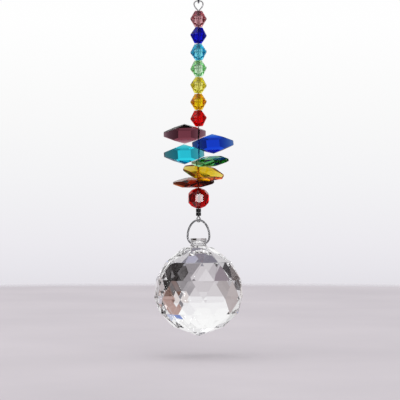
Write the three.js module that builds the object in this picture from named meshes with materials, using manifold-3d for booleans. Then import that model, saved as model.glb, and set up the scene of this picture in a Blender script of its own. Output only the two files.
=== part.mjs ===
// Crystal suncatcher: a clear faceted ball on an oval steel ring, hung from a wire threaded with
// seven coloured bicones, six long drops, a round bead and two crimps, under a hanging ring.
// Millimetres, +Z up, +X to the right, -Y to the front. The origin is the point inside the top of
// the hanging ring where a hook bears.

import * as THREE from 'three';
import { ConvexGeometry } from 'three/addons/geometries/ConvexGeometry.js';
import { mergeVertices } from 'three/addons/utils/BufferGeometryUtils.js';
import Module from 'manifold-3d';

const wasm = await Module();
wasm.setup();

// ---- driving dimensions ----

const GAP = 0.06; // air left between neighbours on the wire

const RING_WIRE = 0.65; // diameter of the wire of both rings
const HANGING_RING_RADIUS = 3.65; // to the middle of its wire
const BALL_RING = { halfWidth: 3.65, above: 5.5, below: 3.1 }; // from its widest level
const RING_SLIT = { at: 0.15, width: 0.004 }; // as shares of the turn, from the right-hand side

const BEAD_WIRE = 0.45; // diameter of the wire through the beads
const TOP_LOOP = { height: 3.4, halfWidth: 1.5 };
const BOTTOM_LOOP = { height: 2.0, halfWidth: 0.85 };
const BOTTOM_LOOP_TURN = 45; // degrees about the wire, across the ball's ring

const BICONE = { width: 5.8, length: 5.4, endWidth: 2.4, sides: 6, girdle: 0.3, bore: 1.0 };
const BICONE_FACETS = { wide: 0.94, narrow: 0.985 }; // distances at the waist, as shares of the half width
const DROP = { length: 14.2, width: 6.7, depth: 3.5, endWidth: 1.7, tipWidth: 1.5, bore: 0.9 };
const DROP_BEVEL = 0.87; // distance of the four waist facets, as a share of the half width
const ROUND_BEAD = { width: 7.0, length: 6.9, sides: 8, bore: 1.1, turn: -84.4 };
const ROUND_BEAD_TIERS = [ // halfSteps turn a tier, and reach is a share of the half width
  { latitude: 0, halfSteps: 0, reach: 0.97 },
  { latitude: 40, halfSteps: 1, reach: 0.98 },
  { latitude: 66, halfSteps: 0, reach: 0.985 },
];
const CRIMP = { width: 1.7, depth: 1.57, length: 1.18, bore: 0.8, rim: 0.26 };

const BALL_RINGS = [ // corners of its facets from the neck down, reach from the axis, 30 across
  { sides: 6, halfSteps: 0, height: 15.15, reach: 4.75 },
  { sides: 6, halfSteps: 0, height: 14.25, reach: 6.1 },
  { sides: 12, halfSteps: 0, height: 10.26, reach: 11.04 },
  { sides: 12, halfSteps: 1, height: 4.4, reach: 14.41 },
  { sides: 12, halfSteps: 0, height: -1.75, reach: 14.97 },
  { sides: 12, halfSteps: 1, height: -6.87, reach: 13.41 },
  { sides: 12, halfSteps: 0, height: -11.56, reach: 8.72 },
];
const BALL_POLE = 14.7; // to the point underneath
const BALL_TURN = 6.2; // degrees about the vertical
const NECK = { sides: 8, baseHeight: 14.8, topHeight: 18.2, baseWidth: 6.6, topWidth: 5.4 };
const NECK_HOLE = { height: 16.4, diameter: 2.2 };

// Each bicone's colour and the few degrees that it leans on the wire, from the top down.
const BICONES = [
  { name: 'bicone_rose', color: 0xb2606e, lean: 0 },
  { name: 'bicone_cobalt', color: 0x1440c8, lean: -4 },
  { name: 'bicone_aqua', color: 0x2fb0cf, lean: 4 },
  { name: 'bicone_green', color: 0x7fd68a, lean: 5 },
  { name: 'bicone_yellow', color: 0xf0d030, lean: -4 },
  { name: 'bicone_amber', color: 0xe89a10, lean: 2 },
  { name: 'bicone_red', color: 0xd01414, lean: 5 },
];

// Each drop from the top down. drilled is the distance of its bore from its near end, heading
// turns it about the wire from +X, lean drops its far tip, roll turns it about its own length,
// and below is how far its bore's middle is under the last bicone.
const DROPS = [
  { name: 'drop_amethyst', color: 0x54263a, drilled: 2.4, heading: 188, lean: 2, roll: -18, below: 2.34 },
  { name: 'drop_sapphire', color: 0x0a1ea0, drilled: 2.1, heading: 14, lean: -3, roll: -14, below: 6.07 },
  { name: 'drop_teal', color: 0x10a0b8, drilled: 1.9, heading: 202, lean: 1.5, roll: 8, below: 9.29 },
  { name: 'drop_emerald', color: 0x1c7a34, drilled: 2.4, heading: -35, lean: -2, roll: 110, below: 11.98 },
  { name: 'drop_gold', color: 0xd8a410, drilled: 5.3, heading: -20, lean: 12, roll: -48, below: 15.1 },
  { name: 'drop_topaz', color: 0x7a3010, drilled: 5.3, heading: 160, lean: 1, roll: 72, below: 18.79 },
];
const DROPS_HEIGHT = 20.66; // from the last bicone to the round bead

// ---- solids ----

const UP = new THREE.Vector3(0, 0, 1);
const radians = THREE.MathUtils.degToRad;

function solidOf(geometry) {
  const bare = geometry.clone();
  bare.deleteAttribute('normal');
  bare.deleteAttribute('uv');
  const merged = mergeVertices(bare, 1e-5);
  return new wasm.Manifold(new wasm.Mesh({
    numProp: 3,
    vertProperties: new Float32Array(merged.attributes.position.array),
    triVerts: new Uint32Array(merged.index.array),
  }));
}

function geometryOf(solid) {
  const mesh = solid.getMesh();
  const geometry = new THREE.BufferGeometry();
  geometry.setAttribute('position', new THREE.BufferAttribute(mesh.vertProperties, mesh.numProp));
  geometry.setIndex(new THREE.BufferAttribute(mesh.triVerts, 1));
  geometry.computeVertexNormals();
  return geometry;
}

// A round bar along direction, centred at the origin.
function bar(diameter, length, direction, sides = 16) {
  const geometry = new THREE.CylinderGeometry(diameter / 2, diameter / 2, length, sides);
  const turn = new THREE.Quaternion().setFromUnitVectors(new THREE.Vector3(0, 1, 0), direction);
  return solidOf(geometry.applyQuaternion(turn));
}

// Grinds flat facets evenly round the Z axis. Each one touches the cone through
// [radius, height] low and high, and the first faces the angle turn, in degrees.
function grind(solid, count, turn, low, high) {
  const rise = high[1] - low[1];
  const run = high[0] - low[0];
  const scale = Math.sign(rise) / Math.hypot(rise, run);
  const out = rise * scale;
  const up = -run * scale;
  const reach = out * low[0] + up * low[1];
  let ground = solid;
  for (let k = 0; k < count; k += 1) {
    const angle = radians(turn) + (2 * Math.PI * k) / count;
    const inward = [-out * Math.cos(angle), -out * Math.sin(angle), -up];
    ground = ground.trimByPlane(inward, -reach);
  }
  return ground;
}

// A stick of glass to grind, standing on the Z axis.
function blank(width, length) {
  return bar(width * 2, length, UP, 8);
}

// ---- beads ----

// A bicone: wide facets from waist to end, and narrow ones between them that run out at the end.
function biconeSolid() {
  const { width, length, endWidth, sides, girdle, bore } = BICONE;
  const half = width / 2;
  const end = endWidth / 2;
  const halfStep = 180 / sides;
  const corner = 1 / Math.cos(Math.PI / sides);
  const wide = half * BICONE_FACETS.wide;
  const narrow = half * BICONE_FACETS.narrow;
  let bead = blank(width, length);
  for (const side of [1, -1]) {
    const top = (side * length) / 2;
    const waist = (side * girdle) / 2;
    bead = grind(bead, sides, 0, [wide, waist], [end, top]);
    bead = grind(bead, sides, halfStep, [narrow, waist], [end * corner, top]);
  }
  bead = grind(bead, sides, 0, [wide, -girdle], [wide, girdle]);
  bead = grind(bead, sides, halfStep, [narrow, -girdle], [narrow, girdle]);
  return bead.subtract(bar(bore, length * 2, UP));
}

// A drop along X with its bore's middle at the origin: four long facets to each blunt end, four
// waist facets between them, flattened front to back.
function dropSolid({ drilled }, boreDirection) {
  const { length, width, depth, endWidth, tipWidth, bore } = DROP;
  const half = width / 2;
  let drop = blank(width, length);
  drop = grind(drop, 4, 0, [half, 0], [tipWidth / 2, length / 2]);
  drop = grind(drop, 4, 0, [half, 0], [endWidth / 2, -length / 2]);
  drop = grind(drop, 4, 45, [half * DROP_BEVEL, -1], [half * DROP_BEVEL, 1]);
  drop = drop.scale([1, depth / width, 1]).rotate([0, 90, 0]);
  drop = drop.translate([length / 2 - drilled, 0, 0]);
  return drop.subtract(bar(bore, width * 3, boreDirection));
}

function roundBeadSolid() {
  const { width, length, sides, bore } = ROUND_BEAD;
  const half = width / 2;
  let bead = blank(width, length);
  for (const { latitude, halfSteps, reach } of ROUND_BEAD_TIERS) {
    const turn = (halfSteps * 180) / sides;
    const angle = radians(latitude);
    const across = [Math.sin(angle), Math.cos(angle)];
    const foot = [half * reach * Math.cos(angle), half * reach * Math.sin(angle)];
    const head = [foot[0] - across[0], foot[1] + across[1]];
    bead = grind(bead, sides, turn, foot, head);
    bead = grind(bead, sides, turn, [foot[0], -foot[1]], [head[0], -head[1]]);
  }
  return bead.subtract(bar(bore, length * 2, UP));
}

// A crimp squeezed on the wire: a short tube with round rims, a little flatter front to back.
function crimpGeometry() {
  const { width, depth, length, bore, rim } = CRIMP;
  const inner = bore / 2;
  const half = length / 2;
  const outline = new THREE.Shape();
  outline.moveTo(inner, -half).lineTo(width / 2 - rim, -half);
  outline.absarc(width / 2 - rim, rim - half, rim, -Math.PI / 2, 0);
  outline.absarc(width / 2 - rim, half - rim, rim, 0, Math.PI / 2);
  outline.lineTo(inner, half).lineTo(inner, -half);
  const lathe = new THREE.LatheGeometry(outline.getPoints(4), 16).rotateX(Math.PI / 2);
  return geometryOf(solidOf(lathe).scale([1, depth / width, 1]));
}

// ---- wire ----

// An upright oval in the XZ plane, open at the slit. It is widest at z = 0, and reaches above
// and below that by amounts of their own.
class OvalPath extends THREE.Curve {
  constructor({ halfWidth, above, below }) {
    super();
    Object.assign(this, { halfWidth, above, below });
  }

  getPoint(share, target = new THREE.Vector3()) {
    const start = RING_SLIT.at + RING_SLIT.width / 2;
    const turn = 2 * Math.PI * (start + share * (1 - RING_SLIT.width));
    const rise = Math.sin(turn);
    return target.set(this.halfWidth * Math.cos(turn), 0, rise * (rise > 0 ? this.above : this.below));
  }
}

const TEARDROP_PEAK = 0.77; // the most that sin(t) * sin(t / 2) comes to

// A teardrop in the XZ plane that leaves the origin upwards and comes back to it in a point.
class LoopPath extends THREE.Curve {
  constructor({ halfWidth, height }) {
    super();
    Object.assign(this, { halfWidth, height });
  }

  getPoint(share, target = new THREE.Vector3()) {
    const turn = 2 * Math.PI * share;
    const out = (Math.sin(turn) * Math.sin(turn / 2)) / TEARDROP_PEAK;
    return target.set(this.halfWidth * out, 0, (this.height / 2) * (1 - Math.cos(turn)));
  }
}

function tube(path, diameter, steps, sides = 12) {
  const section = new THREE.Shape().absarc(0, 0, diameter / 2, 0, 2 * Math.PI);
  return new THREE.ExtrudeGeometry(section, {
    steps,
    curveSegments: sides / 2, // a full circle gets twice as many
    extrudePath: path,
    bevelEnabled: false,
  });
}

// The wire leaves the crimps' foot at z = 0, with its run of the given length above that. The run
// goes a little way into the joint of each loop.
function beadWireSolid(run) {
  const core = bar(BEAD_WIRE, run + BEAD_WIRE, UP, 12).translate([0, 0, run / 2]);
  const top = solidOf(tube(new LoopPath(TOP_LOOP), BEAD_WIRE, 32));
  const low = solidOf(tube(new LoopPath(BOTTOM_LOOP), BEAD_WIRE, 28));
  return core.add(top.translate([0, 0, run])).add(low.rotate([180, 0, BOTTOM_LOOP_TURN]));
}

// ---- ball ----

// Rings of corners round the ball, and the point underneath.
function ballPoints() {
  const points = [new THREE.Vector3(0, 0, -BALL_POLE)];
  for (const { sides, halfSteps, height, reach } of BALL_RINGS) {
    for (let k = 0; k < sides; k += 1) {
      const around = (2 * Math.PI * (k + halfSteps / 2)) / sides;
      points.push(new THREE.Vector3(reach * Math.cos(around), reach * Math.sin(around), height));
    }
  }
  return points;
}

function neckSolid() {
  const { sides, baseHeight, topHeight, baseWidth, topWidth } = NECK;
  const height = topHeight - baseHeight;
  const neck = new THREE.CylinderGeometry(topWidth / 2, baseWidth / 2, height, sides);
  neck.rotateX(Math.PI / 2).translate(0, 0, (baseHeight + topHeight) / 2);
  return solidOf(neck);
}

function ballSolid() {
  const ball = solidOf(new ConvexGeometry(ballPoints()));
  const hole = bar(NECK_HOLE.diameter, NECK.baseWidth * 2, new THREE.Vector3(1, 0, 0), 24);
  const turned = ball.rotate([0, 0, BALL_TURN]).add(neckSolid());
  return turned.subtract(hole.translate([0, 0, NECK_HOLE.height]));
}

// ---- assembly, from the hook down ----

const suncatcher = new THREE.Group();

function glass(color) {
  return new THREE.MeshStandardMaterial({ color, metalness: 0, roughness: 0.02, flatShading: true });
}

function metal(color) {
  return new THREE.MeshStandardMaterial({ color, metalness: 1, roughness: 0.35 });
}

function place(name, geometry, material, height) {
  const mesh = new THREE.Mesh(geometry, material);
  mesh.name = name;
  mesh.position.z = height;
  suncatcher.add(mesh);
  return mesh;
}

const steel = metal(0x5a5a5e);
const gunmetal = metal(0x2c2a2c);
const wireSteel = metal(0xb8b8bc);

const hangingRingMiddle = RING_WIRE / 2 - HANGING_RING_RADIUS;
const circle = new OvalPath({
  halfWidth: HANGING_RING_RADIUS,
  above: HANGING_RING_RADIUS,
  below: HANGING_RING_RADIUS,
});
place('hanging_ring', tube(circle, RING_WIRE, 48), steel, hangingRingMiddle).rotation.z = Math.PI / 2;

const loopTop = hangingRingMiddle - HANGING_RING_RADIUS + (RING_WIRE + BEAD_WIRE) / 2 + GAP;
const strandTop = loopTop - TOP_LOOP.height;

// Two bicones that lean differently meet at the rims of their ends, a little further apart.
const bicone = biconeSolid();
let biconesFoot = strandTop;
let leanAbove = 0;
for (const { name, color, lean } of BICONES) {
  const spread = Math.abs(Math.sin(radians(lean)) - Math.sin(radians(leanAbove)));
  biconesFoot -= GAP + (spread * BICONE.endWidth) / 2;
  const bead = place(name, geometryOf(bicone), glass(color), biconesFoot - BICONE.length / 2);
  bead.rotation.y = -radians(lean);
  biconesFoot -= BICONE.length;
  leanAbove = lean;
}

for (const drop of DROPS) {
  const pose = new THREE.Euler(radians(drop.roll), radians(drop.lean), radians(drop.heading), 'ZYX');
  const turn = new THREE.Quaternion().setFromEuler(pose);
  const boreDirection = UP.clone().applyQuaternion(turn.clone().invert());
  const geometry = geometryOf(dropSolid(drop, boreDirection));
  place(drop.name, geometry, glass(drop.color), biconesFoot - drop.below).quaternion.copy(turn);
}

const roundBeadHeight = biconesFoot - DROPS_HEIGHT - ROUND_BEAD.length / 2;
place('round_bead_red', geometryOf(roundBeadSolid()), glass(0xb80810), roundBeadHeight)
  .rotation.z = radians(ROUND_BEAD.turn);

const crimpPitch = CRIMP.length + GAP;
const crimpsTop = roundBeadHeight - ROUND_BEAD.length / 2 - GAP;
place('crimp_upper', crimpGeometry(), gunmetal, crimpsTop - crimpPitch / 2);
place('crimp_lower', crimpGeometry(), gunmetal, crimpsTop - crimpPitch * 1.5);

const wireFoot = crimpsTop - crimpPitch * 2;
const wire = geometryOf(beadWireSolid(strandTop - wireFoot));
place('bead_wire', wire, wireSteel, wireFoot);

const ballRingTop = wireFoot - BOTTOM_LOOP.height + (BEAD_WIRE + RING_WIRE) / 2 + GAP;
const ballRingMiddle = ballRingTop - BALL_RING.above;
place('ball_ring', tube(new OvalPath(BALL_RING), RING_WIRE, 64), steel, ballRingMiddle);

const ringFoot = ballRingMiddle - BALL_RING.below;
const holeFloor = NECK_HOLE.height - NECK_HOLE.diameter / 2;
const ballHeight = ringFoot - RING_WIRE / 2 - holeFloor - GAP;
place('crystal_ball', geometryOf(ballSolid()), glass(0xf4f6f8), ballHeight);

export default suncatcher;
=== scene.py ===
"""Looks for the crystal suncatcher: cut glass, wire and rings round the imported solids.

Every glass piece starts from its own solid's corners, so it lies exactly where the solid does.
Shapes are worked in millimetres and brought to metres when they become pieces. +Z is up, and -Y
is towards the viewer.
"""

import math

import bmesh
import bpy
from mathutils import Matrix, Vector


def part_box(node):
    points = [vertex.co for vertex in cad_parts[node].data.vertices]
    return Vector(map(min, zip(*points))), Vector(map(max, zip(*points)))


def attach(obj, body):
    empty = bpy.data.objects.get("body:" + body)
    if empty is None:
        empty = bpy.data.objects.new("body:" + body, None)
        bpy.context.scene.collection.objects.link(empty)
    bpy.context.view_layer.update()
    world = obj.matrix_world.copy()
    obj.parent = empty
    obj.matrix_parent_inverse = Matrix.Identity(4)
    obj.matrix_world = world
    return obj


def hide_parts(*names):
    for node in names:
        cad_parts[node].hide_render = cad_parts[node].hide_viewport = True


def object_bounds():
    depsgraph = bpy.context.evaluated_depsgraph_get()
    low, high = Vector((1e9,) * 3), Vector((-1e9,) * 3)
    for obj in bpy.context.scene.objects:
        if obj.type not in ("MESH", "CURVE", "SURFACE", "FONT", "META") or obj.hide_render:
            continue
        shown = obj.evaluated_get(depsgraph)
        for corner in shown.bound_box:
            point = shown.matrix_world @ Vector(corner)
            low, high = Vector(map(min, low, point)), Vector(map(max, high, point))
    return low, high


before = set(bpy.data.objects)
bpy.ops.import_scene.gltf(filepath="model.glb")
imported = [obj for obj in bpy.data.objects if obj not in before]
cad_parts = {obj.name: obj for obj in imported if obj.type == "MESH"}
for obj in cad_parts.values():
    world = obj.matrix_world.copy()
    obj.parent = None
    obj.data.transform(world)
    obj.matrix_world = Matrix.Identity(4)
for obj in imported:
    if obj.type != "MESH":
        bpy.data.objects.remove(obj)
CAD_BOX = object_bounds()
MM = 0.001
UP = Vector((0, 0, 1))
ACROSS = Vector((1, 0, 0))

# ---- beads, in millimetres ----

# The bores of the bicones and drops are 0.2 mm narrower than those of their solids, so that the
# dark line that they make along the strand is as fine as it is in real beads.
BICONE_BORE = 0.8
DROP_BORE = 0.7
ROUND_BORE = 1.1
BORE_SIDES = 40
BORE_FLARE = 0.12  # how much wider a bore is at its mouth, where the drill chips the rim
BORE_WALL = 0.8  # a face in the bore is its wall if its normal lies less than this along it
PAST_MOUTH = 1  # how far a drill runs on past a bead's two ends
DROP_DRILL = 12  # how far a drop's drill reaches up and down

BEAD_EDGE = 0.05  # how much the sharp edge between two facets is softened
FLAT = math.radians(0.6)  # faces that meet at less than this are one facet
TABLE_DEPTH = 0.35  # how deep the table of a drop is ground
BROAD_SIDE = 0.9  # faces whose normals agree by more than this belong to one broad side

# ---- ball ----

BALL_EDGE = 0.07
BALL_POLE = 14.7  # from the ball's middle to the point underneath
SHOULDER = 15.15  # height of its flat top over its middle
LEVEL = 0.001  # corners as near as this to the shoulder are on it
NECK_REACH = 3.5  # all of the neck's corners are nearer to the axis than this
NECK_ROOT = 0.5  # how far the neck runs down into the ball
NECK_HOLE = 2.2
HOLE_HEIGHT = 16.4  # height of the neck's hole over the ball's middle
NECK_DRILL = 16  # how far the neck's drill reaches to each side

# ---- rings ----

RING_WIRE = 0.65
RING_SIDES = 24
RING_STEPS = 180
RING_END = 0.08  # how far the cut ends are rounded
RING_ABOVE = 0.64  # share of the ball ring's height that is over its widest level
RING_SLIT = 0.15  # where each ring is cut, as a share of the turn
RING_GAP = 0.004  # how wide the cut is, as a share of the turn

# ---- bead wire ----

BEAD_WIRE = 0.45
STRAND = 0.15  # diameter of each of the seven strands in the bead wire
STRAND_SIDES = 8
STRAND_PITCH = 3.4
OUTER_STRANDS = 6
RUN_STEP = 0.25
LOOP_SPAN = 0.77  # the most that sin(turn) * sin(turn / 2) comes to
TOP_LOOP = (1.5, 3.4)  # half width and height
TOP_LOOP_STEPS = 60
BOTTOM_LOOP = (0.85, 2.0)
BOTTOM_LOOP_STEPS = 48
BOTTOM_LOOP_TURN = math.radians(45)

# ---- crimps ----

CRIMP_SIDES = 48
CRIMP_BORE = 0.55  # share of the crimp's width that is hollow
CRIMP_LIP = 0.6  # share of the width at which a ring of corners keeps the bore's rim crisp
CRIMP_BACK = 0.3  # how far inside the bore another one does
CRIMP_RIM = 0.16  # radius of the rounded outer rim
CRIMP_RIM_STEPS = 6
DENT = 0.12  # how much thinner the crimp is at the middle of its dent, as a share
DENT_WIDTH = 0.35  # share of the half width
DENT_HEIGHT = 0.7  # share of the half height

# ---- finishes ----

GRAIN_DEPTH = 0.004  # how deep the grain of drawn or pressed metal is

# Slot of each bead's glass, and the share of red, green and blue light left after PATH of it.
PATH = 4.0
GLASSES = {
    "bicone_rose": ("rose_glass", (0.77, 0.47, 0.50)),
    "bicone_cobalt": ("cobalt_glass", (0.005, 0.010, 0.76)),
    "bicone_aqua": ("aqua_glass", (0.28, 0.81, 0.93)),
    "bicone_green": ("green_glass", (0.72, 0.96, 0.72)),
    "bicone_yellow": ("yellow_glass", (0.98, 0.95, 0.30)),
    "bicone_amber": ("amber_glass", (0.98, 0.76, 0.012)),
    "bicone_red": ("red_glass", (0.90, 0.002, 0.003)),
    "drop_amethyst": ("amethyst_glass", (0.11, 0.014, 0.024)),
    "drop_sapphire": ("sapphire_glass", (0.0008, 0.018, 0.60)),
    "drop_teal": ("teal_glass", (0.006, 0.58, 0.76)),
    "drop_emerald": ("emerald_glass", (0.26, 0.62, 0.30)),
    "drop_gold": ("gold_glass", (0.88, 0.54, 0.004)),
    "drop_topaz": ("topaz_glass", (0.36, 0.06, 0.016)),
    "round_bead_red": ("ruby_glass", (0.52, 0.003, 0.009)),
}

# ---- camera and studio ----

VIEW_DISTANCE = 600
VIEW_WIDTH = 134.5
SENSOR = 36
AIM_RIGHT = 0.5  # the camera looks at the point this far right of the strand
AIM_HEIGHT = 45.74  # and this far over the ball's foot

FLOOR_DROP = 7  # the floor is this far under the ball
FLOOR_RADIUS = 560
TABLE_REACH = 480  # the floor fades away from here
TABLE_FADE = 60

# Name, place, width and height, power, and the point that it faces.
SOFTBOXES = [
    ("window", (160, -800, -72), (200, 70), 0.45, (0, 0, -73)),
    ("overhead", (-150, 100, 400), (500, 400), 0.3, (0, 0, -80)),
]

# The tone of the wall that is seen behind the object, and the tone that the crystal picks up all
# round it, each by the height of the direction in degrees.
WALL_TONES = [
    (-90, (0.62, 0.59, 0.62)),
    (-5, (0.62, 0.59, 0.62)),
    (-2.6, (0.785, 0.77, 0.815)),
    (-1.6, (0.835, 0.82, 0.86)),
    (0.6, (0.898, 0.896, 0.913)),
    (2.5, (0.941, 0.941, 0.943)),
    (5.5, (0.995, 0.995, 0.995)),
]
ROOM_TONES = [
    (-90, (0.66, 0.65, 0.67)),
    (-30, (0.62, 0.60, 0.62)),
    (-21, (0.62, 0.585, 0.615)),
    (-5, (0.60, 0.565, 0.59)),
    (-1, (0.74, 0.715, 0.74)),
    (5, (0.88, 0.87, 0.89)),
    (14, (0.94, 0.935, 0.94)),
    (24, (1.0, 1.0, 1.0)),
]

# What the crystal picks up in the room: name, heading and height of its middle in degrees (0 is
# behind the object, positive is to the right and up), half sizes, softness, and colour.
ROOM_PATCHES = [
    ("table_near", (3, -43), (29, 13), 6, (0.21, 0.20, 0.245)),
    ("bright_dim", (12, 8), (9, 12.5), 4, (0.85, 0.84, 0.86)),
    ("pale_left", (-7.5, -17.5), (3, 3.5), 2, (0.73, 0.70, 0.73)),
    ("shade_far_left", (-17.5, -22.5), (3.5, 3), 2, (0.52, 0.49, 0.52)),
    ("grey_middle", (10, -18.7), (6.5, 10.6), 2, (0.28, 0.26, 0.28)),
    ("grey_left", (-28, -6), (8.5, 7), 2, (0.42, 0.38, 0.39)),
    ("shade_left", (-28, -18), (9, 6), 2, (0.27, 0.225, 0.26)),
    ("pink_left", (-40, 3), (7, 12), 2, (0.49, 0.435, 0.44)),
    ("dark_left", (-38, -30), (8, 9), 2, (0.06, 0.055, 0.06)),
    ("dark_edge_left", (-51, 9.7), (2.2, 2.6), 1, (0.06, 0.05, 0.055)),
    ("dark_far_left", (-62, -18), (13, 14), 3, (0.07, 0.06, 0.062)),
    ("tan_right", (34, 11), (12, 9), 2, (0.44, 0.28, 0.25)),
    ("lilac_right", (45, 5), (3, 3.5), 1.5, (0.55, 0.52, 0.58)),
    ("brown_right", (33.5, -3), (13.5, 5.7), 1.5, (0.18, 0.10, 0.08)),
    ("brown_edge", (16.8, 0), (1.5, 6), 1, (0.72, 0.66, 0.65)),
    ("black_right", (30, -20), (13.5, 11.3), 1.5, (0.008, 0.005, 0.004)),
    ("blue_right", (31, 24.5), (5, 3), 2, (0.20, 0.28, 0.62)),
    ("behind_right", (14, 2.4), (1.8, 2.2), 0.6, (0.20, 0.19, 0.21)),
    ("behind_left", (-12.3, 1.6), (1.5, 1.7), 1, (0.42, 0.40, 0.43)),
    ("above_right", (14, 24.5), (1.6, 1.6), 1, (0.20, 0.17, 0.16)),
    ("below_right", (7.2, -36), (1.8, 6), 1, (0.80, 0.80, 0.83)),
    ("lavender_below", (10.6, -40.3), (1.0, 1.9), 0.6, (0.42, 0.41, 0.52)),
]
REPEATS = 2  # the same patches again on the other side of the room

# The outside of a facet mirrors this dim tone in place of the room. Rays that go on almost
# straight away from the viewer still get the room: between these two shares of straight on, the
# first all room and the second all dim, they change over.
MIRRORED_TONE = (0.1, 0.1, 0.105)
STRAIGHT_ON = (0.95, 0.5)


# ---- nodes ----


def feed(tree, node, inputs):
    """Sets inputs of the node to values, or links them to sockets of other nodes."""
    for key, value in inputs.items():
        if isinstance(value, bpy.types.NodeSocket):
            tree.links.new(value, node.inputs[key])
        else:
            node.inputs[key].default_value = value


def add(tree, kind, inputs=(), **settings):
    """A node with its settings, and with its inputs fed."""
    node = tree.nodes.new("ShaderNode" + kind)
    for key, value in settings.items():
        setattr(node, key, value)
    feed(tree, node, dict(inputs))
    return node


def math_node(tree, operation, *values):
    return add(tree, "Math", enumerate(values), operation=operation).outputs["Value"]


def mix(tree, share, first, second, label=""):
    """The first colour, turning into the second one as the share goes from 0 to 1."""
    node = add(tree, "MixRGB", {"Fac": share, "Color1": first, "Color2": second}, label=label)
    return node.outputs["Color"]


def spread(tree, source, low, high, to_low=0.0, to_high=1.0):
    """The source's range from low to high, taken smoothly to another range."""
    limits = {"From Min": low, "From Max": high, "To Min": to_low, "To Max": to_high}
    node = add(tree, "MapRange", {"Value": source, **limits}, interpolation_type="SMOOTHSTEP")
    return node.outputs["Result"]


def noise(tree, place, scale, detail):
    return add(tree, "TexNoise", {"Vector": place, "Scale": scale, "Detail": detail}).outputs["Fac"]


def object_place(tree):
    return add(tree, "TexCoord").outputs["Object"]


def new_group(name, inputs, outputs):
    """A shader group with float inputs {name: default} and float outputs, still empty."""
    group = bpy.data.node_groups.new(name, "ShaderNodeTree")
    for label, value in inputs.items():
        socket = group.interface.new_socket(label, in_out="INPUT", socket_type="NodeSocketFloat")
        socket.default_value = value
    for label in outputs:
        group.interface.new_socket(label, in_out="OUTPUT", socket_type="NodeSocketFloat")
    return group, group.nodes.new("NodeGroupInput").outputs, group.nodes.new("NodeGroupOutput")


def facet_polish_group():
    """Wheel polish on cut glass: slow ripples, a film of finger marks, and matt bore walls."""
    group, given, result = new_group(
        "facet_polish",
        {"Ripple Size": 400.0, "Film": 0.02, "Bore": 0.0, "Bore Matt": 0.15},
        ["Roughness", "Height"],
    )
    place = object_place(group)
    ripple = noise(group, place, given["Ripple Size"], 1.0)
    marks = noise(group, place, 260.0, 6.0)
    film = math_node(group, "MULTIPLY", spread(group, marks, 0.52, 0.8), given["Film"])
    matt = math_node(group, "MULTIPLY", given["Bore"], given["Bore Matt"])
    rough = math_node(group, "MAXIMUM", film, matt)
    feed(group, result, {"Roughness": rough, "Height": ripple})
    return group


def drawn_wire_group():
    """Drawn wire: fine grain, dull spots and a little tarnish."""
    group, given, result = new_group(
        "drawn_wire",
        {"Grain Size": 3000.0, "Shine": 0.2, "Dull": 0.45, "Stain": 0.3},
        ["Roughness", "Tarnish", "Height"],
    )
    place = object_place(group)
    grain = noise(group, place, given["Grain Size"], 3.0)
    spots = noise(group, place, 700.0, 4.0)
    rough = add(group, "MapRange", {
        "Value": spots, "From Min": 0.3, "From Max": 0.7,
        "To Min": given["Shine"], "To Max": given["Dull"],
    }).outputs["Result"]
    tarnish = math_node(group, "MULTIPLY", spread(group, spots, 0.45, 0.75), given["Stain"])
    feed(group, result, {"Roughness": rough, "Tarnish": tarnish, "Height": grain})
    return group


FACET_POLISH = facet_polish_group()
DRAWN_WIRE = drawn_wire_group()


# ---- materials ----


def fresh_material(name):
    """A new material, its node tree and its shader."""
    material = bpy.data.materials.new(name)
    material.use_nodes = True
    tree = material.node_tree
    return material, tree, tree.nodes["Principled BSDF"]


def bumped(tree, height, depth):
    return add(tree, "Bump", {"Height": height, "Distance": depth}).outputs["Normal"]


def glass_material(name, ior, film, ripple, left=None):
    """Cut glass, coloured through and through where the light left after PATH is given."""
    material, tree, shader = fresh_material(name)
    bore = add(tree, "Attribute", attribute_name="bore").outputs["Fac"]
    polish = add(tree, "Group", {"Film": film, "Bore": bore}, node_tree=FACET_POLISH).outputs
    feed(tree, shader, {
        "Base Color": (1, 1, 1, 1),
        "Transmission Weight": 1.0,
        "IOR": ior,
        "Roughness": polish["Roughness"],
        "Normal": bumped(tree, polish["Height"], ripple * MM),
    })
    if left:
        lost = [-math.log(share) / (PATH * MM) for share in left]
        most = max(lost)
        colour = [1 - each / most for each in lost]
        inside = add(tree, "VolumeAbsorption", {"Color": (*colour, 1), "Density": most})
        feed(tree, tree.nodes["Material Output"], {"Volume": inside.outputs["Volume"]})
    return material


def bead_glass(name, left):
    return glass_material(name, ior=1.56, film=0.03, ripple=0.0004, left=left)


def ball_glass(name):
    return glass_material(name, ior=1.52, film=0.012, ripple=0.004)


def wire_material(name, bright, dark, shine, dull, stain, metal=1.0):
    """Drawn or pressed metal that goes from bright to dark where it is tarnished."""
    material, tree, shader = fresh_material(name)
    wear = add(
        tree, "Group", {"Shine": shine, "Dull": dull, "Stain": stain}, node_tree=DRAWN_WIRE,
    ).outputs
    feed(tree, shader, {
        "Base Color": mix(tree, wear["Tarnish"], (*bright, 1), (*dark, 1)),
        "Metallic": metal,
        "Roughness": wear["Roughness"],
        "Normal": bumped(tree, wear["Height"], GRAIN_DEPTH * MM),
    })
    return material


RING_STEEL = wire_material(
    "ring_steel", bright=(0.60, 0.60, 0.62), dark=(0.25, 0.24, 0.24),
    shine=0.2, dull=0.38, stain=0.7,
)
BEAD_STEEL = wire_material(
    "bead_wire_steel", bright=(0.85, 0.85, 0.86), dark=(0.5, 0.48, 0.46),
    shine=0.15, dull=0.35, stain=0.5, metal=0.6,
)
GUNMETAL = wire_material(
    "crimp_gunmetal", bright=(0.08, 0.078, 0.08), dark=(0.03, 0.03, 0.03),
    shine=0.25, dull=0.5, stain=0.6,
)


# ---- making pieces ----


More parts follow.
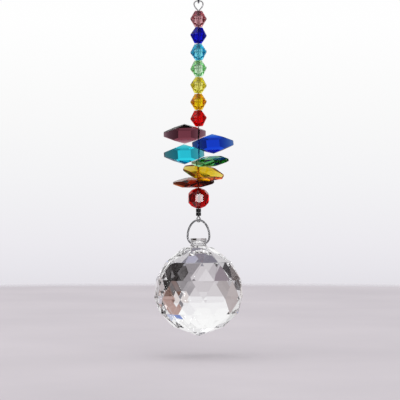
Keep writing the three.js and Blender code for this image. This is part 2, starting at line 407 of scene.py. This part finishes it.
def in_scene(name, data):
    """A new object that shows the data."""
    thing = bpy.data.objects.new(name, data)
    bpy.context.scene.collection.objects.link(thing)
    return thing


def mesh_of(shape, name):
    """A mesh in metres of a shape in millimetres, which is used up."""
    bmesh.ops.scale(shape, vec=(MM, MM, MM), verts=shape.verts)
    mesh = bpy.data.meshes.new(name)
    shape.to_mesh(mesh)
    shape.free()
    return mesh


def face_outwards(shape):
    bmesh.ops.recalc_face_normals(shape, faces=shape.faces)


def as_piece(name, shape, material, node):
    """Makes a piece of a shape in millimetres: it rides, and stands for the node."""
    face_outwards(shape)
    mesh = mesh_of(shape, name)
    mesh.materials.append(material)
    piece = in_scene(name, mesh)
    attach(piece, "root")
    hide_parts(node)
    return piece


def cut_or_join(piece, other, operation):
    """Takes the other object out of the piece or joins it on, and uses it up."""
    step = piece.modifiers.new(other.name, "BOOLEAN")
    step.operation = operation
    step.solver = "EXACT"
    step.object = other
    graph = bpy.context.evaluated_depsgraph_get()
    made = bpy.data.meshes.new_from_object(piece.evaluated_get(graph))
    piece.modifiers.clear()
    before, spare = piece.data, other.data
    piece.data = made
    bpy.data.objects.remove(other)
    bpy.data.meshes.remove(before)
    bpy.data.meshes.remove(spare)


def corners_of(node):
    """The node's own corners, in millimetres."""
    return [vertex.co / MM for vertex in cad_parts[node].data.vertices]


def middle_of(node):
    low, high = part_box(node)
    return (low + high) / 2 / MM


def turns(count):
    """The angles of a full turn in equal steps."""
    return [2 * math.pi * k / count for k in range(count)]


def join_rings(shape, rings, smooth=True):
    """Walls from each ring of corners to the next."""
    for lower, upper in zip(rings, rings[1:]):
        for k in range(len(lower)):
            n = (k + 1) % len(lower)
            shape.faces.new((lower[k], lower[n], upper[n], upper[k])).smooth = smooth


def cut_body(corners):
    """The solid between these corners, with one face for each flat facet."""
    body = bmesh.new()
    for corner in corners:
        body.verts.new(corner)
    made = bmesh.ops.convex_hull(body, input=body.verts)
    spare = made["geom_interior"] + made["geom_unused"]
    inner = {part for part in spare if isinstance(part, bmesh.types.BMVert)}
    bmesh.ops.delete(body, geom=list(inner), context="VERTS")
    bmesh.ops.dissolve_limit(body, angle_limit=FLAT, verts=body.verts, edges=body.edges)
    return body


def soften(body, width):
    """Rounds off every edge between two facets."""
    bmesh.ops.bevel(
        body, geom=body.edges[:], offset=width, segments=2, profile=0.5, affect="EDGES",
        clamp_overlap=True,
    )


def drill_shape(middle, axis, diameter, reach, flare_at=None):
    """A round drill through middle along axis, flared at its mouths where they are given."""
    radius = diameter / 2
    stops = [(-reach, radius), (reach, radius)]
    if flare_at:
        straight = flare_at - 2 * BORE_FLARE
        wide = radius + BORE_FLARE
        widest = wide + reach - flare_at
        stops = [
            (-reach, widest), (-flare_at, wide), (-straight, radius),
            (straight, radius), (flare_at, wide), (reach, widest),
        ]
    lean = UP.rotation_difference(axis)
    shape = bmesh.new()
    rings = []
    for along, around in stops:
        points = [
            Vector((around * math.cos(angle), around * math.sin(angle), along))
            for angle in turns(BORE_SIDES)
        ]
        rings.append([shape.verts.new(middle + lean @ point) for point in points])
    join_rings(shape, rings, smooth=False)
    shape.faces.new(rings[0][::-1])
    shape.faces.new(rings[-1])
    return shape


def drill(piece, middle, axis, diameter, reach, flare_at=None):
    """Drills the piece, and marks the wall of the bore in its mesh."""
    shape = drill_shape(middle, axis, diameter, reach, flare_at)
    cut_or_join(piece, in_scene("drill", mesh_of(shape, "drill")), "DIFFERENCE")

    wall = piece.data.attributes.new("bore", "FLOAT", "FACE")
    widest = diameter / 2 + 1.5 * BORE_FLARE
    for polygon in piece.data.polygons:
        arm = polygon.center / MM - middle
        off_axis = (arm - axis * arm.dot(axis)).length
        inside = off_axis < widest and abs(polygon.normal.dot(axis)) < BORE_WALL
        polygon.use_smooth = inside
        wall.data[polygon.index].value = 1.0 if inside else 0.0


# ---- beads ----


def glass_piece(node, body):
    slot, left = GLASSES[node]
    return as_piece(node + "_glass", body, bead_glass(slot, left), node)


def bicone(node):
    """A cut bicone, drilled square to its flat ends."""
    body = cut_body(corners_of(node))
    end = max(body.faces, key=lambda face: face.normal.z)
    axis = end.normal.copy()
    middle = middle_of(node)
    mouth = (end.calc_center_median() - middle).dot(axis)
    soften(body, BEAD_EDGE)
    drill(glass_piece(node, body), middle, axis, BICONE_BORE, mouth + PAST_MOUTH, mouth)


def table_cut(body, depth):
    """The body with a small flat table ground on the ridge of its two broad sides."""
    broad = max(body.faces, key=lambda face: face.calc_area()).normal.copy()
    for side in (broad, -broad):
        pair = [face for face in body.faces if face.normal.dot(side) > BROAD_SIDE]
        facing = sum((face.normal for face in pair), Vector()).normalized()
        level = max(vertex.co.dot(facing) for face in pair for vertex in face.verts) - depth
        corners = [vertex.co.copy() for vertex in body.verts if vertex.co.dot(facing) < level]
        for edge in body.edges:
            start, end = (vertex.co for vertex in edge.verts)
            low, high = start.dot(facing), end.dot(facing)
            if (low - level) * (high - level) < 0:
                corners.append(start.lerp(end, (level - low) / (high - low)))
        body.free()
        body = cut_body(corners)
    return body


def drop(node):
    """A long drop with its tables, drilled upright through its near end."""
    body = table_cut(cut_body(corners_of(node)), TABLE_DEPTH)
    soften(body, BEAD_EDGE)
    low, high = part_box(node)
    middle = Vector((0, 0, (low.z + high.z) / 2 / MM))
    drill(glass_piece(node, body), middle, UP, DROP_BORE, DROP_DRILL)


def round_bead(node):
    """A faceted round bead, drilled upright through its middle."""
    body = cut_body(corners_of(node))
    soften(body, BEAD_EDGE)
    low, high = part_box(node)
    mouth = (high.z - low.z) / 2 / MM
    drill(glass_piece(node, body), middle_of(node), UP, ROUND_BORE, mouth + PAST_MOUTH, mouth)


# ---- ball ----


def crystal_ball(node):
    """The faceted ball with its neck, drilled across for the ring."""
    low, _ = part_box(node)
    middle = Vector((0, 0, low.z / MM + BALL_POLE))
    shoulder = middle.z + SHOULDER
    corners = corners_of(node)
    body = cut_body([c for c in corners if c.z < shoulder + LEVEL])
    soften(body, BALL_EDGE)
    neck = cut_body([c for c in corners if c.z > shoulder - LEVEL and c.xy.length < NECK_REACH])
    for vertex in neck.verts:
        if vertex.co.z < shoulder + LEVEL:
            vertex.co.z -= NECK_ROOT
    soften(neck, BALL_EDGE)
    face_outwards(neck)
    ball = as_piece(node + "_glass", body, ball_glass("clear_crystal"), node)
    cut_or_join(ball, in_scene("neck", mesh_of(neck, "neck")), "UNION")
    hole = Vector((0, 0, middle.z + HOLE_HEIGHT))
    drill(ball, hole, ACROSS, NECK_HOLE, NECK_DRILL)


# ---- wire ----


def frames_along(path):
    """A side and a second side square to the path at each of its points, turning with it."""
    tangents = []
    for k in range(len(path)):
        before = path[max(k - 1, 0)]
        after = path[min(k + 1, len(path) - 1)]
        tangents.append((after - before).normalized())
    side = tangents[0].orthogonal().normalized()
    sides = []
    for k, tangent in enumerate(tangents):
        if k:
            side = tangents[k - 1].rotation_difference(tangent) @ side
        side = (side - tangent * side.dot(tangent)).normalized()
        sides.append((side, tangent.cross(side)))
    return sides


def sweep(shape, path, diameter, sides, end_round=0.0):
    """Adds a round wire along the path, with flat or rounded ends."""
    rings = []
    for point, (across, over) in zip(path, frames_along(path)):
        arms = [across * math.cos(angle) + over * math.sin(angle) for angle in turns(sides)]
        rings.append([shape.verts.new(point + arm * (diameter / 2)) for arm in arms])
    join_rings(shape, rings)
    ends = [shape.faces.new(rings[0][::-1]), shape.faces.new(rings[-1])]
    if end_round:
        rim = [edge for end in ends for edge in end.edges]
        bmesh.ops.bevel(shape, geom=rim, offset=end_round, segments=3, profile=0.5, affect="EDGES")


def oval(half_width, above, below):
    """An open oval in the XZ plane, cut at the slit, that is widest at z = 0."""
    path = []
    for k in range(RING_STEPS + 1):
        turn = 2 * math.pi * (RING_SLIT + RING_GAP / 2 + (1 - RING_GAP) * k / RING_STEPS)
        rise = math.sin(turn)
        reach = above if rise > 0 else below
        path.append(Vector((half_width * math.cos(turn), 0, rise * reach)))
    return path


def ring(node, share_above, turn):
    """A split ring of round steel wire, filling its node's box."""
    low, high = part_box(node)
    size = (high - low) / MM
    half_width = (max(size.x, size.y) - RING_WIRE) / 2
    height = size.z - RING_WIRE
    widest = low.z / MM + RING_WIRE / 2 + height * (1 - share_above)
    placing = Matrix.Translation((0, 0, widest)) @ Matrix.Rotation(turn, 4, "Z")
    path = oval(half_width, height * share_above, height * (1 - share_above))
    shape = bmesh.new()
    sweep(shape, [placing @ point for point in path], RING_WIRE, RING_SIDES, RING_END)
    as_piece(node + "_wire", shape, RING_STEEL, node)


def loop(half_width, height, steps):
    """A teardrop in the XZ plane that leaves the origin upwards and comes back to it."""
    path = []
    for k in range(steps + 1):
        turn = 2 * math.pi * k / steps
        x = half_width / LOOP_SPAN * math.sin(turn) * math.sin(turn / 2)
        path.append(Vector((x, 0, height / 2 * (1 - math.cos(turn)))))
    return path


def twist(path, first_turn):
    """The way of a strand that winds round the path and starts at this share of a turn."""
    length = 0.0
    strand = []
    for k, (point, (across, over)) in enumerate(zip(path, frames_along(path))):
        if k:
            length += (point - path[k - 1]).length
        angle = 2 * math.pi * (length / STRAND_PITCH + first_turn)
        arm = across * math.cos(angle) + over * math.sin(angle)
        strand.append(point + arm * STRAND)
    return strand


def bead_wire(node):
    """Seven twisted strands: the run through the beads and a loop at each end."""
    low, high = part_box(node)
    top = high.z / MM - BEAD_WIRE / 2 - TOP_LOOP[1]
    foot = low.z / MM + BEAD_WIRE / 2 + BOTTOM_LOOP[1]
    steps = int((top - foot) / RUN_STEP)
    run = [Vector((0, 0, foot + (top - foot) * k / steps)) for k in range(steps + 1)]
    upper = [point + Vector((0, 0, top)) for point in loop(*TOP_LOOP, TOP_LOOP_STEPS)]
    flip = Matrix.Rotation(BOTTOM_LOOP_TURN, 3, "Z") @ Matrix.Rotation(math.pi, 3, "X")
    bottom = loop(*BOTTOM_LOOP, BOTTOM_LOOP_STEPS)
    lower = [flip @ point + Vector((0, 0, foot)) for point in bottom]
    shape = bmesh.new()
    for path in (run, upper, lower):
        sweep(shape, path, STRAND, STRAND_SIDES)
        for k in range(OUTER_STRANDS):
            sweep(shape, twist(path, k / OUTER_STRANDS), STRAND, STRAND_SIDES)
    as_piece(node + "_strands", shape, BEAD_STEEL, node)


# ---- crimps ----


def crimp_section(half_width, half_height):
    """The upper half of a crimp's section, from the bore over the rim and down its side.

    Each station is a share of the half width and a height over the middle.
    """
    section = [
        (CRIMP_BORE, half_height - CRIMP_BACK), (CRIMP_BORE, half_height),
        (CRIMP_LIP, half_height),
    ]
    for k in range(CRIMP_RIM_STEPS + 1):
        angle = math.pi / 2 * k / CRIMP_RIM_STEPS
        inwards = CRIMP_RIM * (1 - math.sin(angle))
        down = CRIMP_RIM * (1 - math.cos(angle))
        section.append((1 - inwards / half_width, half_height - down))
    return section


def crimp(node):
    """A squeezed metal tube: round-rimmed, with the pliers' shallow dent front and back."""
    low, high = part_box(node)
    size = (high - low) / MM
    middle = middle_of(node)
    half = size.z / 2
    section = crimp_section(size.x / 2, half)
    section += [(share, -height) for share, height in reversed(section)]
    shape = bmesh.new()
    rings = []
    for share, height in section:
        near_middle = math.exp(-((height / (half * DENT_HEIGHT)) ** 2))
        corners = []
        for angle in turns(CRIMP_SIDES):
            dent = DENT * math.exp(-((math.cos(angle) / DENT_WIDTH) ** 2)) * near_middle
            x = size.x / 2 * share * math.cos(angle)
            y = size.y / 2 * share * (1 - dent) * math.sin(angle)
            corners.append(shape.verts.new(middle + Vector((x, y, height))))
        rings.append(corners)
    join_rings(shape, rings + rings[:1])
    as_piece(node + "_shell", shape, GUNMETAL, node)


# ---- camera and studio ----


def look_at(thing, place, target):
    thing.location = place * MM
    thing.rotation_euler = (target - place).to_track_quat("-Z", "Y").to_euler()


def add_camera():
    data = bpy.data.cameras.new("camera")
    data.sensor_width = SENSOR
    data.lens = SENSOR * VIEW_DISTANCE / VIEW_WIDTH
    data.clip_start = 0.05
    data.clip_end = 20
    camera = in_scene("camera", data)
    low, _ = CAD_BOX
    aim = Vector((AIM_RIGHT, 0, low.z / MM + AIM_HEIGHT))
    look_at(camera, aim - Vector((0, VIEW_DISTANCE, 0)), aim)
    bpy.context.scene.camera = camera


def add_floor():
    """A round pale floor that fades away at its rim."""
    shape = bmesh.new()
    bmesh.ops.create_circle(shape, cap_ends=True, segments=96, radius=FLOOR_RADIUS)
    floor = in_scene("floor", mesh_of(shape, "floor"))
    low, _ = CAD_BOX
    floor.location.z = low.z - FLOOR_DROP * MM
    floor.visible_transmission = False
    floor.visible_glossy = False

    material, tree, shader = fresh_material("floor")
    place = object_place(tree)
    away = add(tree, "VectorMath", {0: place}, operation="LENGTH").outputs["Value"]
    streaks = noise(tree, place, 9.0, 5.0)
    feed(tree, shader, {
        "Base Color": mix(tree, streaks, (0.52, 0.49, 0.525, 1), (0.70, 0.655, 0.69, 1)),
        "Roughness": 0.9,
        "Specular IOR Level": 0.0,
        "Alpha": spread(tree, away, TABLE_REACH * MM, (TABLE_REACH + TABLE_FADE) * MM, 1.0, 0.0),
    })
    floor.data.materials.append(material)


def add_softbox(name, place, size, power, target):
    data = bpy.data.lights.new(name, "AREA")
    data.shape = "RECTANGLE"
    data.size = size[0] * MM
    data.size_y = size[1] * MM
    data.energy = power
    lamp = in_scene(name, data)
    look_at(lamp, Vector(place), Vector(target))
    lamp.visible_camera = False


def tone_by_height(tree, lift, stops):
    """A colour that changes with the height of the direction, in degrees."""
    share = math_node(tree, "MULTIPLY_ADD", lift, 1 / 180, 0.5)
    ramp = add(tree, "ValToRGB", {"Fac": share})
    elements = ramp.color_ramp.elements
    while len(elements) < len(stops):
        elements.new(0.5)
    for element, (height, colour) in zip(elements, stops):
        element.position = height / 180 + 0.5
        element.color = (*colour, 1)
    return ramp.outputs["Color"]


def within(tree, value, middle, half, soft):
    """1 where the value is within half of the middle and 0 outside, with a soft border."""
    beside = math_node(tree, "ABSOLUTE", math_node(tree, "SUBTRACT", value, middle))
    return spread(tree, beside, half - soft / 2, half + soft / 2, 1.0, 0.0)


def room_around(tree, turn, lift):
    """The tones and patches of the room that the crystal picks up."""
    room = tone_by_height(tree, lift, ROOM_TONES)
    side = 180 / REPEATS
    folded = math_node(tree, "WRAP", turn, side, -side)
    for name, (heading, height), (half_turn, half_lift), soft, colour in ROOM_PATCHES:
        beside = within(tree, folded, heading, half_turn, soft)
        level = within(tree, lift, height, half_lift, soft)
        mask = math_node(tree, "MULTIPLY", beside, level)
        room = mix(tree, mask, room, (*colour, 1), label=name)
    return room


def add_world():
    """The wall that is seen, and the room that is mirrored and refracted."""
    world = bpy.data.worlds.new("studio")
    world.use_nodes = True
    bpy.context.scene.world = world
    tree = world.node_tree
    direction = add(tree, "TexCoord").outputs["Generated"]
    parts = add(tree, "SeparateXYZ", {"Vector": direction}).outputs
    degree = 180 / math.pi
    lift = math_node(tree, "MULTIPLY", math_node(tree, "ARCSINE", parts["Z"]), degree)
    turn = math_node(tree, "MULTIPLY", math_node(tree, "ARCTAN2", parts["X"], parts["Y"]), degree)
    room = room_around(tree, turn, lift)
    ray = add(tree, "LightPath").outputs
    outside = math_node(tree, "SUBTRACT", ray["Is Glossy Ray"], ray["Is Transmission Ray"])
    mirrored = math_node(tree, "MULTIPLY", outside, spread(tree, parts["Y"], *STRAIGHT_ON))
    picked_up = mix(tree, mirrored, room, (*MIRRORED_TONE, 1))
    wall = tone_by_height(tree, lift, WALL_TONES)
    shown = mix(tree, ray["Is Camera Ray"], picked_up, wall)
    feed(tree, tree.nodes["Background"], {"Color": shown})


add_camera()
add_floor()
add_world()
for softbox in SOFTBOXES:
    add_softbox(*softbox)

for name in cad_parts:
    if name.startswith("bicone"):
        bicone(name)
    elif name.startswith("drop"):
        drop(name)
round_bead("round_bead_red")
crystal_ball("crystal_ball")
ring("hanging_ring", 0.5, math.pi / 2)
ring("ball_ring", RING_ABOVE, 0)
bead_wire("bead_wire")
crimp("crimp_upper")
crimp("crimp_lower")

scene = bpy.context.scene
scene.view_settings.view_transform = "Standard"
scene.cycles.max_bounces = 28
scene.cycles.transmission_bounces = 28
scene.cycles.glossy_bounces = 12
scene.cycles.transparent_max_bounces = 16
